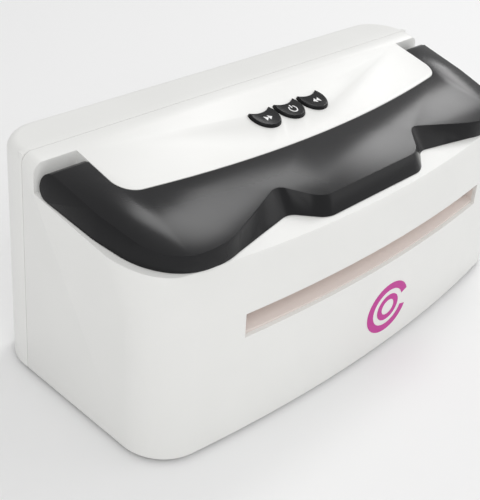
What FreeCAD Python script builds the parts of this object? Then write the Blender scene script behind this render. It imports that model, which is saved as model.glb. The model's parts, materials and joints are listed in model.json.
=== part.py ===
import FreeCAD, Part
import math
import os
import re

# A desktop pouch laminator: a white two-piece casing on a base plate, a black carry handle
# that wraps the sloping top, three keys, and inside it two driven pairs of rollers between
# two steel side frames, with heater plates, guides, a motor, gears and circuit boards.
#
# Working frame of every piece: x = 0 in the middle, y = 0 on the seam between the front shell
# and the rear cover (-y is the front), z = 0 on the lower edge of the casing. The last step
# moves every piece to the part's own frame: z = 0 under the feet and y = 0 half way along
# the overall depth. Lengths are in millimetres, angles in degrees.

doc = FreeCAD.newDocument("PouchLaminator")
sizes = doc.addObject("Spreadsheet::Sheet", "Sizes")
places = doc.addObject("Spreadsheet::Sheet", "Places")

SIZES = [
    # casing
    ("casing_width", 340.0), ("casing_height", 138.5), ("front_depth", 122.5),
    ("rear_depth", 30.7), ("wall", 2.6), ("top_fall", 12.56), ("front_bow", 1000.0),
    ("front_corner", 28.0), ("rear_corner", 26.0), ("edge_round", 6.0), ("seam_gap", 0.4),
    ("belt_height", 77.0), ("belt_setback", 4.9), ("brow_drop", 32.5),
    ("brow_setback", 14.0), ("fit_gap", 0.3), ("plate_thickness", 2.5), ("plate_lift", 1.0),
    ("foot_radius", 9.0), ("foot_height", 3.0), ("foot_inset_x", 30.0), ("foot_inset_y", 34.0),
    # feed path
    ("path_drop", 69.1), ("slot_margin", 55.8), ("slot_height", 14.6),
    ("exit_height", 9.0), ("throat_height", 4.8), ("guide_wall", 3.0),
    # carry handle and its recess
    ("ledge_drop", 17.3), ("ledge_fall", 8.5), ("recess_back", 9.5),
    ("arm_width", 27.0), ("island_setback", 64.5), ("island_corner", 13.0),
    ("handle_gap", 0.4), ("handle_setback", 23.0), ("handle_drop", 16.0), ("tip_radius", 7.4),
    ("pivot_back", 19.5), ("pivot_drop", 12.2), ("pin_radius", 3.0), ("pin_gap", 0.05),
    ("notch_offset", 64.0), ("notch_depth", 20.0), ("rim_inset", 3.5),
    # keys
    ("key_pitch", 22.0), ("key_back", 35.0), ("key_width", 20.0), ("key_length", 16.0),
    ("key_rise", 1.8), ("key_gap", 0.35), ("key_flange", 0.7), ("board_depth", 12.4),
    ("board_thickness", 1.6), ("board_width", 84.0), ("board_length", 28.0),
    ("switch_size", 6.0), ("switch_height", 3.5), ("plunger_radius", 1.7),
    # rollers, bearings and gears
    ("roller_radius", 12.0), ("nip_gap", 0.4), ("core_radius", 8.0), ("roller_end_gap", 5.2),
    ("shaft_radius", 4.0), ("shaft_gap", 0.05), ("frame_margin", 48.0),
    ("frame_thickness", 1.6), ("frame_drop", 37.5), ("frame_lead", 2.5), ("frame_tail", 4.0),
    ("bush_radius", 6.5), ("slider_width", 14.0), ("slider_height", 15.0),
    ("slider_gap", 0.15), ("roller_teeth", 24), ("idler_teeth", 26),
    ("pinion_teeth", 16), ("gear_width", 6.0), ("gear_clearance", 5.2), ("mesh_gap", 0.1),
    ("idler_angle", 23.6), ("pull_back", 2.0), ("backlash", 0.26),
    # heater, motor, electrics
    ("heater_length", 24.0), ("heater_thickness", 3.0), ("motor_radius", 24.0),
    ("motor_length", 20.0), ("motor_offset", 9.0), ("tie_radius", 3.0),
    ("inlet_width", 22.0), ("inlet_height", 14.0), ("inlet_offset", 22.0), ("inlet_z", 26.0),
]

PLACES = [
    ("half_width", "casing_width / 2"),
    ("seam_y", "(front_depth - rear_depth) / 2"),
    ("bow_centre", "front_bow - front_depth"),
    ("brow_height", "casing_height - brow_drop"),
    ("ledge_height", "casing_height - ledge_drop"),
    ("pivot_height", "casing_height - pivot_drop"),
    ("island_half", "half_width - arm_width"),
    ("island_front", "front_depth - island_setback"),
    ("handle_reach", "front_depth - handle_setback"),
    ("path_height", "casing_height - path_drop"),
    ("slot_width", "casing_width - 2 * slot_margin"),
    ("plate_top", "plate_lift + plate_thickness"),
    ("nip_pitch", "2 * roller_radius + nip_gap"),
    ("low_z", "path_height - nip_pitch / 2"),
    ("high_z", "path_height + nip_pitch / 2"),
    ("gear_module", "2 * roller_radius / roller_teeth"),
    ("idler_reach", "gear_module * (roller_teeth + idler_teeth) / 2 + mesh_gap"),
    ("pinion_reach", "gear_module * (roller_teeth + pinion_teeth) / 2 + mesh_gap"),
    ("nip_spacing", "2 * idler_reach * cos(idler_angle * 1deg)"),
    ("pull_y", "0 - pull_back"),
    ("hot_y", "0 - pull_back - nip_spacing"),
    ("idler_y", "0 - pull_back - nip_spacing / 2"),
    ("idler_z", "low_z - idler_reach * sin(idler_angle * 1deg)"),
    ("motor_z", "low_z - pinion_reach"),
    ("frame_offset", "half_width - frame_margin"),
    ("frame_inner", "frame_offset - frame_thickness / 2"),
    ("frame_outer", "frame_offset + frame_thickness / 2"),
    ("frame_top", "casing_height - frame_drop"),
    ("frame_back", "pull_y + roller_radius + frame_tail"),
    ("roller_length", "2 * (frame_inner - roller_end_gap)"),
    ("gear_start", "frame_outer + gear_clearance"),
    ("motor_start", "gear_start + motor_offset"),
    ("inlet_x", "frame_offset - inlet_offset"),
    ("window_top", "frame_top - 3"),
    ("heater_front", "0 - pull_back - nip_spacing - roller_radius - 1.5 - heater_length"),
    ("heater_back", "0 - pull_back - nip_spacing - roller_radius - 1.5"),
    ("frame_front", "frame_lead - heater_front"),
]

SIZE_NAMES = {name for name, value in SIZES}
PLACE_NAMES = {name for name, formula in PLACES}


def with_sheets(text):
    """The same formula with every size written as Sizes.name and every place as Places.name."""
    def full(match):
        word = match.group(0)
        if word in SIZE_NAMES:
            return "Sizes." + word
        if word in PLACE_NAMES:
            return "Places." + word
        return word
    return re.sub(r"[a-z_]+[a-z0-9_]*", full, str(text))


for row, (name, value) in enumerate(SIZES, start=1):
    sizes.set("A%d" % row, name)
    sizes.set("B%d" % row, str(value))
    sizes.setAlias("B%d" % row, name)
doc.recompute()
for row, (name, formula) in enumerate(PLACES, start=1):
    places.set("A%d" % row, name)
    places.setAlias("B%d" % row, name)
    places.set("B%d" % row, "=" + re.sub(r"\bPlaces\.", "", with_sheets(formula)))
doc.recompute()


def size(name):
    """The number now in the cell with this alias."""
    sheet = sizes if name in SIZE_NAMES else places
    value = sheet.get(name)
    return float(getattr(value, "Value", value))


def amount(inset):
    """The number behind an inset: a size's name or a number, either with "0 - " before it."""
    word = inset.replace("0 - ", "")
    value = size(word) if word in SIZE_NAMES else float(word)
    return -value if inset != word else value


# ---------------------------------------------------------------- helpers

def bind(obj, prop, formula):
    obj.setExpression(prop, with_sheets(formula))


def put(obj, x=0, y=0, z=0):
    bind(obj, "Placement.Base.x", x)
    bind(obj, "Placement.Base.y", y)
    bind(obj, "Placement.Base.z", z)


def box(name, x_span, y_span, z_span):
    """A block between two formulas along each axis."""
    obj = doc.addObject("Part::Box", name)
    for prop, span in (("Length", x_span), ("Width", y_span), ("Height", z_span)):
        bind(obj, prop, "(%s) - (%s)" % (span[1], span[0]))
    put(obj, x_span[0], y_span[0], z_span[0])
    return obj


TURNS = {
    "x": FreeCAD.Rotation(FreeCAD.Vector(0, 1, 0), 90),
    "y": FreeCAD.Rotation(FreeCAD.Vector(1, 0, 0), -90),
    "z": FreeCAD.Rotation(),
}


def rod(name, axis, start, length, radius):
    """A round bar that starts at a point and runs along +axis."""
    obj = doc.addObject("Part::Cylinder", name)
    obj.Placement.Rotation = TURNS[axis]
    bind(obj, "Radius", radius)
    bind(obj, "Height", length)
    put(obj, *start)
    return obj


def wedge(name, x_half, y_span, z_low, z_high):
    """A tapering duct along y: z_low and z_high each give (at the first y, at the second y)."""
    obj = doc.addObject("Part::Wedge", name)
    bind(obj, "Xmin", "0 - (%s)" % x_half)
    bind(obj, "Xmax", x_half)
    bind(obj, "X2min", "0 - (%s)" % x_half)
    bind(obj, "X2max", x_half)
    bind(obj, "Ymin", y_span[0])
    bind(obj, "Ymax", y_span[1])
    bind(obj, "Zmin", z_low[0])
    bind(obj, "Z2min", z_low[1])
    bind(obj, "Zmax", z_high[0])
    bind(obj, "Z2max", z_high[1])
    return obj


def cut(name, base, *tools):
    obj = doc.addObject("Part::Cut", name)
    obj.Base = base
    obj.Tool = tools[0] if len(tools) == 1 else fuse(name + "_tools", *tools)
    return obj


def fuse(name, *shapes):
    obj = doc.addObject("Part::MultiFuse", name)
    obj.Shapes = list(shapes)
    return obj


def common(name, *shapes):
    obj = doc.addObject("Part::MultiCommon", name)
    obj.Shapes = list(shapes)
    return obj


def fillet(name, base, radius, chosen):
    """Round the edges of base whose centre point passes the test."""
    doc.recompute()
    edges = base.Shape.Edges
    picked = [i for i, edge in enumerate(edges, start=1) if chosen(edge.BoundBox, edge.CenterOfMass)]
    if not picked:
        raise ValueError("no edge to round on " + name)
    obj = doc.addObject("Part::Fillet", name)
    obj.Base = base
    obj.Edges = [(i, radius, radius) for i in picked]
    return obj


def tilted(obj, fall, x, y, z):
    """Turn a piece about x by the named fall, then move its own origin to a point."""
    obj.Placement.Rotation = FreeCAD.Rotation(FreeCAD.Vector(1, 0, 0), size(fall))
    bind(obj, "Placement.Rotation.Angle", fall)
    put(obj, x, y, z)
    return obj


def solid_from(name, shape):
    obj = doc.addObject("Part::Feature", name)
    obj.Shape = shape
    return obj


NODES = []


def node(name, piece, slope=False):
    """Name a finished piece. A piece on the slope is drawn in the plane of the sloping top."""
    if piece.TypeId in ("Part::Box", "Part::Cylinder", "Part::Cone"):
        piece = group(name + "_piece", piece)
    piece.Label = name
    if slope:
        tilted(piece, "top_fall", 0, "seam_y", "foot_height + casing_height")
    else:
        put(piece, 0, "seam_y", "foot_height")
    NODES.append((name, piece))
    return piece


def group(name, *pieces):
    obj = doc.addObject("Part::Compound", name)
    obj.Links = list(pieces)
    return obj


# ---------------------------------------------------------------- casing forms

def front_form(name, inset, low="0", back="0", rounded=False):
    """The outer form of the front half, drawn in by an inset: bowed, leaning front and a falling
    top between flat sides."""
    sketch = doc.addObject("Sketcher::SketchObject", name + "_profile")
    sketch.Placement.Rotation = FreeCAD.Rotation(0.5, 0.5, 0.5, 0.5)
    gap = amount(inset)
    front = -size("front_depth") + gap
    belt = FreeCAD.Vector(front + size("belt_setback"), size("belt_height"), 0)
    brow = FreeCAD.Vector(front + size("brow_setback"), size("brow_height"), 0)
    lean = math.atan2(size("belt_setback"), size("belt_height"))
    rise = brow - belt
    bend = math.atan2(rise.x, rise.y) - lean
    across = FreeCAD.Vector(-rise.y, rise.x, 0).normalize()
    bulge = (belt + brow) * 0.5 + across * (rise.Length / 2 * math.tan(bend / 2))
    finish = lean + 2 * bend
    crown = brow + FreeCAD.Vector(math.sin(finish), math.cos(finish), 0) * 50
    floor = -10.0
    corners = [FreeCAD.Vector(20, floor, 0),
               FreeCAD.Vector(front + size("belt_setback") * floor / size("belt_height"), floor, 0)]
    sketch.addGeometry([
        Part.LineSegment(corners[0], corners[1]),
        Part.LineSegment(corners[1], belt),
        Part.Arc(belt, bulge, brow),
        Part.LineSegment(brow, crown),
        Part.LineSegment(crown, FreeCAD.Vector(20, crown.y, 0)),
        Part.LineSegment(FreeCAD.Vector(20, crown.y, 0), corners[0]),
    ])
    front_wall = doc.addObject("Part::Revolution", name + "_front")
    front_wall.Source = sketch
    front_wall.Axis = FreeCAD.Vector(0, 0, 1)
    bind(front_wall, "Base.y", "bow_centre")
    front_wall.Angle = 30
    front_wall.Symmetric = True
    front_wall.Solid = True
    sides = box(name + "_sides", ("%s - half_width" % inset, "half_width - %s" % inset),
                ("0 - front_depth - 5", back), (low, "casing_height + 5"))
    below = box(name + "_below", ("0 - casing_width", "casing_width"),
                ("0 - 2 * front_depth", "front_depth"), ("0 - 2 * casing_height", "0 - %s" % inset))
    slope = group(name + "_slope", below)
    tilted(slope, "top_fall", 0, 0, "casing_height")
    form = common(name + "_form", front_wall, sides, slope)
    corner = size("front_corner") - gap
    form = fillet(name + "_corners", form, corner,
                  lambda b, c: b.XLength < 1 and b.ZLength > 1.2 * b.YLength and c.y < -50)
    if rounded:
        form = fillet(name, form, size("edge_round"),
                      lambda b, c: b.XLength < 1 and b.YLength > 25 and c.z > 120)
    return form


def rear_form(name, inset, front, low="0", rounded=False):
    """The outer form of the rear half, drawn in by an inset: a shallow tray with a level top."""
    form = box(name + "_block", ("%s - half_width" % inset, "half_width - %s" % inset),
               (front, "rear_depth - %s" % inset), (low, "casing_height - %s" % inset))
    gap = amount(inset)
    back = size("rear_depth") - gap
    form = fillet(name + "_corners", form, size("rear_corner") - gap,
                  lambda b, c: b.ZLength > 40 and c.y > back - 1)
    if rounded:
        top = size("casing_height") - gap
        form = fillet(name, form, size("edge_round"),
                      lambda b, c: b.ZLength < 0.1 and c.z > top - 1 and c.y > 1)
    return form


def island(name, inset):
    """The part of the top that the carry handle wraps round, drawn in by an inset."""
    block = box(name + "_block", ("%s - island_half" % inset, "island_half - (%s)" % inset),
                ("0 - front_depth", "10"), ("60", "casing_height + 20"))
    bow = rod(name + "_bow", "z", ("0", "bow_centre", "0"), "casing_height + 40",
              "bow_centre + island_front - (%s)" % inset)
    gap = amount(inset)
    return fillet(name, common(name + "_form", block, bow), size("island_corner") - gap,
                  lambda b, c: b.ZLength > 40 and c.y < -20)


def above_ledge(name, lift, back):
    """Everything above the ledge that the handle lies on, in front of a line."""
    block = box(name + "_block", ("0 - casing_width", "casing_width"),
                ("0 - 2 * front_depth", "front_depth"), (lift, "casing_height"))
    leaning = group(name + "_leaning", block)
    tilted(leaning, "ledge_fall", 0, 0, "ledge_height")
    ahead = box(name + "_ahead", ("0 - casing_width", "casing_width"),
                ("0 - 2 * front_depth", back), ("0", "2 * casing_height"))
    return common(name, leaning, ahead)


# ---------------------------------------------------------------- keys

def key_outline(grow):
    """Shield outline of a key about its own centre: round to the front, two ears at the back."""
    half = size("key_width") / 2 + grow
    long = size("key_length") / 2 + grow
    ear = FreeCAD.Vector(half * 0.86, long, 0)
    hip = FreeCAD.Vector(half, long * 0.15, 0)
    knee = FreeCAD.Vector(half * 0.72, -long * 0.62, 0)

    def other(point):
        return FreeCAD.Vector(-point.x, point.y, 0)
    nose = FreeCAD.Vector(0, -long, 0)
    dip = FreeCAD.Vector(0, long - 2.6 + grow * 0.1, 0)
    return Part.Wire([edge.toShape() for edge in (
        Part.Arc(other(ear), dip, ear), Part.Arc(ear, hip, knee),
        Part.Arc(knee, nose, other(knee)), Part.Arc(other(knee), other(hip), other(ear)))])


def key_prism(name, x, grow, z_low, z_high):
    """A key-shaped prism in the plane of the sloping top."""
    face = Part.Face(key_outline(grow))
    face.translate(FreeCAD.Vector(x, -size("key_back"), z_low))
    return solid_from(name, face.extrude(FreeCAD.Vector(0, 0, z_high - z_low)))


KEYS = [("run", -size("key_pitch")), ("power", 0.0), ("reverse", size("key_pitch"))]


def build_keys():
    wall = size("wall")
    flange_top = -wall - size("fit_gap")
    flange_low = flange_top - 1.6
    switch_top = -size("board_depth") + size("switch_height")
    plunger_top = switch_top + 1.5
    for name, x in KEYS:
        cap = key_prism(name + "_cap", x, 0.0, flange_low, size("key_rise"))
        rounded = fillet(name + "_crown", cap, 1.1, lambda b, c: c.z > size("key_rise") - 0.01)
        flange = key_prism(name + "_flange", x, size("key_flange"), flange_low, flange_top)
        stem = rod(name + "_stem", "z", (x, "0 - key_back", plunger_top), flange_low - plunger_top, 2.4)
        node(name + "_button", fuse(name + "_button", rounded, flange, stem), slope=True)
        plunger = rod(name + "_plunger", "z", (x, "0 - key_back", switch_top - 1.0), 2.5,
                      "plunger_radius")
        node(name + "_plunger", plunger, slope=True)
        body = box(name + "_switch_body",
                   ("%s - switch_size / 2" % x, "%s + switch_size / 2" % x),
                   ("0 - key_back - switch_size / 2", "0 - key_back + switch_size / 2"),
                   ("0 - board_depth", "switch_height - board_depth"))
        well = rod(name + "_well", "z", (x, "0 - key_back", switch_top - 2.2), 4,
                   "plunger_radius + shaft_gap")
        node(name + "_switch", cut(name + "_switch", body, well), slope=True)


BOARD_POSTS = [(sx * 36.0, sy * 10.0) for sx in (-1, 1) for sy in (-1, 1)]


def build_control_board():
    board = box("control_sheet", ("0 - board_width / 2", "board_width / 2"),
                ("0 - key_back - board_length / 2", "board_length / 2 - key_back"),
                ("0 - board_depth - board_thickness", "0 - board_depth"))
    holes = [rod("control_hole_%d" % i, "z", (x, "%s - key_back" % y, "0 - 2 * board_depth"),
                 "3 * board_depth", 1.3) for i, (x, y) in enumerate(BOARD_POSTS)]
    node("control_board", cut("control_board", board, *holes), slope=True)
    screws = []
    for i, (x, y) in enumerate(BOARD_POSTS):
        under = "0 - board_depth - board_thickness"
        head = rod("board_screw_head_%d" % i, "z", (x, "%s - key_back" % y, under + " - 1.8"),
                   1.8, 2.4)
        shank = rod("board_screw_shank_%d" % i, "z", (x, "%s - key_back" % y, under), 7.0, 1.1)
        screws.append(fuse("board_screw_%d" % i, head, shank))
    node("board_screws", group("board_screws", *screws), slope=True)


# ---------------------------------------------------------------- front shell

BASE_BOSSES = [("%d * (half_width - 7.4)" % sx, y)
               for sx in (-1, 1) for y in ("0 - 22", "50.5 - front_depth")]


def pivot_pin_bores(name, radius):
    """The two blind bores of the handle's pins; they stop inside the arms' outer sides."""
    reach = "half_width - 6 - (island_half - wall - 8)"
    starts = (("left", "6 - half_width"), ("right", "island_half - wall - 8"))
    return [rod("%s_%s" % (name, side), "x", (start, "0 - pivot_back", "pivot_height"), reach, radius)
            for side, start in starts]


def build_front_shell():
    outer = front_form("shell_outer", "0", rounded=True)
    cavity = front_form("shell_cavity", "wall", low="0 - 1", back="1")
    keep = cut("recess_walls", above_ledge("recess_wall_zone", "0 - wall", "wall - recess_back"),
               island("recess_wall_island", "wall"))
    hollow = cut("shell_hollow", cavity, keep)
    recess = cut("recess", above_ledge("recess_zone", "0", "0 - recess_back"), island("top_island", "0"))
    slot = box("feed_slot", ("0 - slot_width / 2", "slot_width / 2"),
               ("0 - front_depth - 10", "30 - front_depth"),
               ("path_height - slot_height / 2", "path_height + slot_height / 2"))
    shell = cut("shell_recessed", outer, recess)
    shell = cut("shell_slotted", shell, slot)
    shell = cut("shell_walls", shell, hollow)

    posts = []
    for i, (x, y) in enumerate(BOARD_POSTS):
        posts.append(rod("board_post_%d" % i, "z", (x, "%s - key_back" % y, "0 - board_depth"),
                         "board_depth - wall + 0.5", 2.8))
    on_top = group("board_posts", *posts)
    tilted(on_top, "top_fall", 0, 0, "casing_height")
    bosses = [rod("base_boss_%d" % i, "z", (x, y, "plate_top"), 16, 5.0)
              for i, (x, y) in enumerate(BASE_BOSSES)]
    solid = fuse("shell_solid", shell, on_top, *bosses)

    key_holes = [key_prism(name + "_opening", x, size("key_gap"), -10, 10) for name, x in KEYS]
    screw_holes = [rod("post_hole_%d" % i, "z", (x, "%s - key_back" % y, "0 - board_depth - 1"),
                       8.0, 1.15) for i, (x, y) in enumerate(BOARD_POSTS)]
    sloping = group("sloping_holes", *(key_holes + screw_holes))
    tilted(sloping, "top_fall", 0, 0, "casing_height")
    boss_holes = [rod("boss_hole_%d" % i, "z", (x, y, "plate_top - 1"), 13, 1.45)
                  for i, (x, y) in enumerate(BASE_BOSSES)]
    bores = pivot_pin_bores("shell_pin_bore", "pin_radius")
    node("front_shell", cut("front_shell", solid, sloping, *(boss_holes + bores)))


# ---------------------------------------------------------------- rear cover and base plate

COVER_BOSSES = [(sx * 60.0, "rear_depth - 8.7") for sx in (-1, 1)]


def build_rear_cover():
    outer = rear_form("cover_outer", "0", "seam_gap", rounded=True)
    inner = rear_form("cover_inner", "wall", "0 - 1", low="0 - 1")
    tray = cut("cover_tray", outer, inner)
    lip_outer = box("lip_outer", ("wall + fit_gap - half_width", "half_width - wall - fit_gap"),
                    ("0 - 4", "wall + 1"), ("plate_top + 3", "casing_height - wall - 1.5"))
    lip_inner = box("lip_inner", ("wall + fit_gap + 1.6 - half_width", "half_width - wall - fit_gap - 1.6"),
                    ("0 - 5", "wall + 2"), ("plate_top", "casing_height - wall - 3.1"))
    link = box("lip_link", ("0.5 - half_width", "half_width - 0.5"), ("seam_gap", "wall + 1"),
               ("plate_top + 3", "casing_height - 0.5"))
    link_hole = box("lip_link_hole", ("wall + fit_gap + 1 - half_width", "half_width - wall - fit_gap - 1"),
                    ("0 - 5", "wall + 2"), ("plate_top", "casing_height - wall - 2.5"))
    lip = cut("cover_lip", lip_outer, lip_inner)
    bridge = cut("cover_lip_bridge", link, link_hole)
    bosses = [rod("cover_boss_%d" % i, "z", (x, y, "plate_top"), 14, 5.0)
              for i, (x, y) in enumerate(COVER_BOSSES)]
    webs = [box("cover_web_%d" % i, (x - 1, x + 1), (y, "rear_depth - wall + 0.5"), ("plate_top", "plate_top + 14"))
            for i, (x, y) in enumerate(COVER_BOSSES)]
    body = fuse("cover_body", tray, lip, bridge, *(bosses + webs))
    exit_slot = box("exit_slot", ("0 - slot_width / 2", "slot_width / 2"),
                    ("rear_depth - 10", "rear_depth + 10"),
                    ("path_height - exit_height / 2", "path_height + exit_height / 2"))
    inlet = box("inlet_opening", ("0 - inlet_x - inlet_width / 2", "inlet_width / 2 - inlet_x"),
                ("rear_depth - 10", "rear_depth + 10"),
                ("inlet_z - inlet_height / 2", "inlet_z + inlet_height / 2"))
    vents = [box("cover_vent_%d" % i, (x - 1.6, x + 1.6), ("rear_depth - 10", "rear_depth + 10"),
                 ("path_height + 28", "path_height + 50"))
             for i, x in enumerate([12.0 * step for step in range(-8, 9)])]
    holes = [rod("cover_boss_hole_%d" % i, "z", (x, y, "plate_top - 1"), 12, 1.45)
             for i, (x, y) in enumerate(COVER_BOSSES)]
    node("rear_cover", cut("rear_cover", body, exit_slot, inlet, *(vents + holes)))


FRAME_FEET = [("%d * (frame_inner - 7.2)" % sx, y)
              for sx in (-1, 1) for y in ("10 - frame_front", "frame_back - 10")]


def build_base_plate():
    inset = "wall"
    front = front_form("plate_front", inset, low="0", back="0.1")
    rear = rear_form("plate_rear", inset, "0")
    area = fuse("plate_area", front, rear)
    shrink = [box("plate_trim_left", ("0 - casing_width", "wall + fit_gap - half_width"),
                  ("0 - casing_width", "casing_width"), ("0 - 1", "20")),
              box("plate_trim_right", ("half_width - wall - fit_gap", "casing_width"),
                  ("0 - casing_width", "casing_width"), ("0 - 1", "20"))]
    layer = box("plate_layer", ("0 - casing_width", "casing_width"), ("0 - casing_width", "casing_width"),
                ("plate_lift", "plate_top"))
    sheet = common("plate_sheet", area, layer)
    screw_points = BASE_BOSSES + COVER_BOSSES + FRAME_FEET
    holes = [rod("plate_hole_%d" % i, "z", (x, y, "0 - 1"), 10, 1.8)
             for i, (x, y) in enumerate(screw_points)]
    vents = [box("plate_vent_%d" % i, (x - 1.5, x + 1.5), ("0 - 75", "0 - 35"), ("0 - 1", "10"))
             for i, x in enumerate([10.0 * step for step in range(-7, 8)])]
    node("base_plate", cut("base_plate", sheet, *(shrink + holes + vents)))
    screws = []
    for i, (x, y) in enumerate(screw_points):
        head = rod("case_screw_head_%d" % i, "z", (x, y, "plate_lift - 2"), 2, 2.9)
        tall = 7 if (x, y) in FRAME_FEET else 13
        shank = rod("case_screw_shank_%d" % i, "z", (x, y, "plate_lift"), tall - 1, 1.4)
        screws.append(fuse("case_screw_%d" % i, head, shank))
    node("case_screws", group("case_screws", *screws))
    for side, sx in (("left", -1), ("right", 1)):
        for end, y in (("front", "foot_inset_y - front_depth"), ("rear", "rear_depth - foot_inset_y + 12")):
            name = "foot_%s_%s" % (end, side)
            x = "%d * (half_width - foot_inset_x)" % sx
            pad = rod(name + "_pad", "z", (x, y, "0 - foot_height"), "foot_height + plate_lift", "foot_radius")
            dish = rod(name + "_dish", "z", (x, y, "0 - foot_height"), 0.8, "foot_radius - 3")
            node(name, cut(name, pad, dish))


# ---------------------------------------------------------------- carry handle

def rounded_outline(corners):
    """A closed wire through corner points (x, y, radius), each corner turned by a tangent arc."""
    count = len(corners)
    ends = []
    for i, (x, y, radius) in enumerate(corners):
        here = FreeCAD.Vector(x, y, 0)
        back = (FreeCAD.Vector(*corners[i - 1][:2], 0) - here).normalize()
        ahead = (FreeCAD.Vector(*corners[(i + 1) % count][:2], 0) - here).normalize()
        turn = math.pi - back.getAngle(ahead)
        reach = radius * math.tan(turn / 2)
        middle = (back + ahead).normalize() * (radius / math.cos(turn / 2) - radius)
        ends.append((here + back * reach, here + middle, here + ahead * reach))
    edges = []
    for i, (start, middle, finish) in enumerate(ends):
        edges.append(Part.Arc(start, middle, finish).toShape())
        edges.append(Part.LineSegment(finish, ends[(i + 1) % count][0]).toShape())
    return Part.Wire(edges)


def handle_outline(depth, half, reach, lobe, notch, notch_radius, corner_radius):
    """The handle's outer line on a plane parallel to the sloping top, at a depth under it."""
    fall = math.radians(size("top_fall"))
    lean = depth * math.sin(fall)
    notch_x = size("notch_offset")

    def at(x, y, radius):
        return (x, (-y - lean) / math.cos(fall), radius)
    left = [
        at(-half, 0, 6.0),
        at(-half + 1.5, lobe * 0.53, 60.0),
        at(-half + 8.5, lobe - 3, corner_radius),
        at(-notch_x - 56, lobe, 60.0),
        at(-notch_x, notch, notch_radius),
        at(-notch_x + 18, reach - 0.5, 18.0),
    ]
    right = [(-x, y, radius) for x, y, radius in reversed(left)]
    wire = rounded_outline(left + right)
    wire.rotate(FreeCAD.Vector(), FreeCAD.Vector(1, 0, 0), size("top_fall"))
    wire.translate(FreeCAD.Vector(0, lean, size("casing_height") - depth * math.cos(fall)))
    return wire


def build_handle():
    half = size("half_width")
    reach = size("handle_reach")
    rim = handle_outline(0.0, half - size("rim_inset"), reach, reach, reach - size("notch_depth"), 9.0, 26.0)
    drop = size("handle_drop")
    foot = handle_outline(drop, half, reach + 10, reach + 2.5, reach - 2.5, 14.0, 44.0)
    block = solid_from("handle_block", Part.makeLoft([foot, rim], True, True))
    zone = above_ledge("handle_zone", "handle_gap", "0 - pivot_back")
    tips = rod("handle_tips", "x", ("0 - half_width - 5", "0 - pivot_back", "pivot_height"),
               "casing_width + 10", "tip_radius")
    reach_zone = fuse("handle_reach_zone", zone, tips)
    band = cut("handle_band", common("handle_body", block, reach_zone),
               island("handle_island", "0 - handle_gap"))
    bores = pivot_pin_bores("handle_pin_bore", "pin_radius + pin_gap")
    node("carry_handle", cut("carry_handle", band, *bores))
    for side, sx in (("left", -1), ("right", 1)):
        name = "handle_pin_" + side
        shank_start = "island_half - wall - 1" if sx > 0 else "6.5 - half_width"
        head_start = "island_half - wall - 3" if sx > 0 else "wall + 1 - island_half"
        shank = rod(name + "_shank", "x", (shank_start, "0 - pivot_back", "pivot_height"),
                    "half_width - 6.5 - island_half + wall + 1", "pin_radius")
        head = rod(name + "_head", "x", (head_start, "0 - pivot_back", "pivot_height"), 2, "pin_radius + 2")
        node(name, fuse(name, shank, head))


# ---------------------------------------------------------------- roller frame

NIPS = (("hot", "hot_y"), ("pull", "pull_y"))
TIES = (("tie_bar_front", "0 - frame_front + 7", "frame_top - 9.6"),
        ("tie_bar_rear", "frame_back - 5", "high_z + 12.8"),
        ("tie_bar_low", "0 - 58", "plate_top + 10"))


def build_frames():
    for side, sx in (("left", -1), ("right", 1)):
        plate_x = ("frame_inner", "frame_outer") if sx > 0 else ("0 - frame_outer", "0 - frame_inner")
        foot_x = ("frame_inner - 14", "frame_outer") if sx > 0 else ("0 - frame_outer", "14 - frame_inner")
        plate = box(side + "_plate", plate_x, ("0 - frame_front", "frame_back"), ("plate_top", "frame_top"))
        foot = box(side + "_flange", foot_x, ("0 - frame_front", "frame_back"),
                   ("plate_top", "plate_top + frame_thickness"))
        start = "0 - frame_outer - 5" if sx < 0 else "frame_inner - 5"
        openings = []
        for nip, y in NIPS:
            openings.append(rod("%s_%s_seat" % (side, nip), "x", (start, y, "low_z"), 12, "bush_radius"))
            openings.append(box("%s_%s_window" % (side, nip), (start, start + " + 12"),
                                ("%s - slider_width / 2" % y, "%s + slider_width / 2" % y),
                                ("high_z - slider_height / 2", "window_top")))
        for tie, y, z in TIES:
            openings.append(rod("%s_%s_hole" % (side, tie), "x", (start, y, z), 12, 1.6))
        for i, (x, y) in enumerate(FRAME_FEET):
            openings.append(rod("%s_foot_hole_%d" % (side, i), "z", (x, y, "0"), 12, 1.8))
        if sx > 0:
            openings.append(rod("right_stud_hole", "x", (start, "idler_y", "idler_z"), 12, 3.0))
            for i, (y, z) in enumerate(MOTOR_EARS):
                openings.append(rod("right_motor_hole_%d" % i, "x", (start, y, z), 12, 1.6))
        else:
            for i, (y, z) in enumerate(POWER_POSTS):
                openings.append(rod("left_power_hole_%d" % i, "x", (start, y, z), 12, 1.6))
        node(side + "_frame", cut(side + "_frame", fuse(side + "_sheet", plate, foot), *openings))
    screws = []
    for tie, y, z in TIES:
        bar = rod(tie + "_bar", "x", ("0 - frame_inner", y, z), "2 * frame_inner", "tie_radius")
        ends = [rod("%s_tap_%d" % (tie, sx), "x", ("frame_inner - 9" if sx > 0 else "0 - frame_inner - 1", y, z),
                    10, 1.5) for sx in (-1, 1)]
        node(tie, cut(tie, bar, *ends))
        for sx in (-1, 1):
            name = "%s_screw_%s" % (tie, "right" if sx > 0 else "left")
            head_x = "frame_outer" if sx > 0 else "0 - frame_outer - 2"
            shank_x = "frame_inner - 7" if sx > 0 else "0 - frame_outer"
            head = rod(name + "_head", "x", (head_x, y, z), 2, 2.9)
            shank = rod(name + "_shank", "x", (shank_x, y, z), "7 + frame_thickness", 1.45)
            screws.append(fuse(name, head, shank))
    node("frame_screws", group("frame_screws", *screws))


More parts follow.
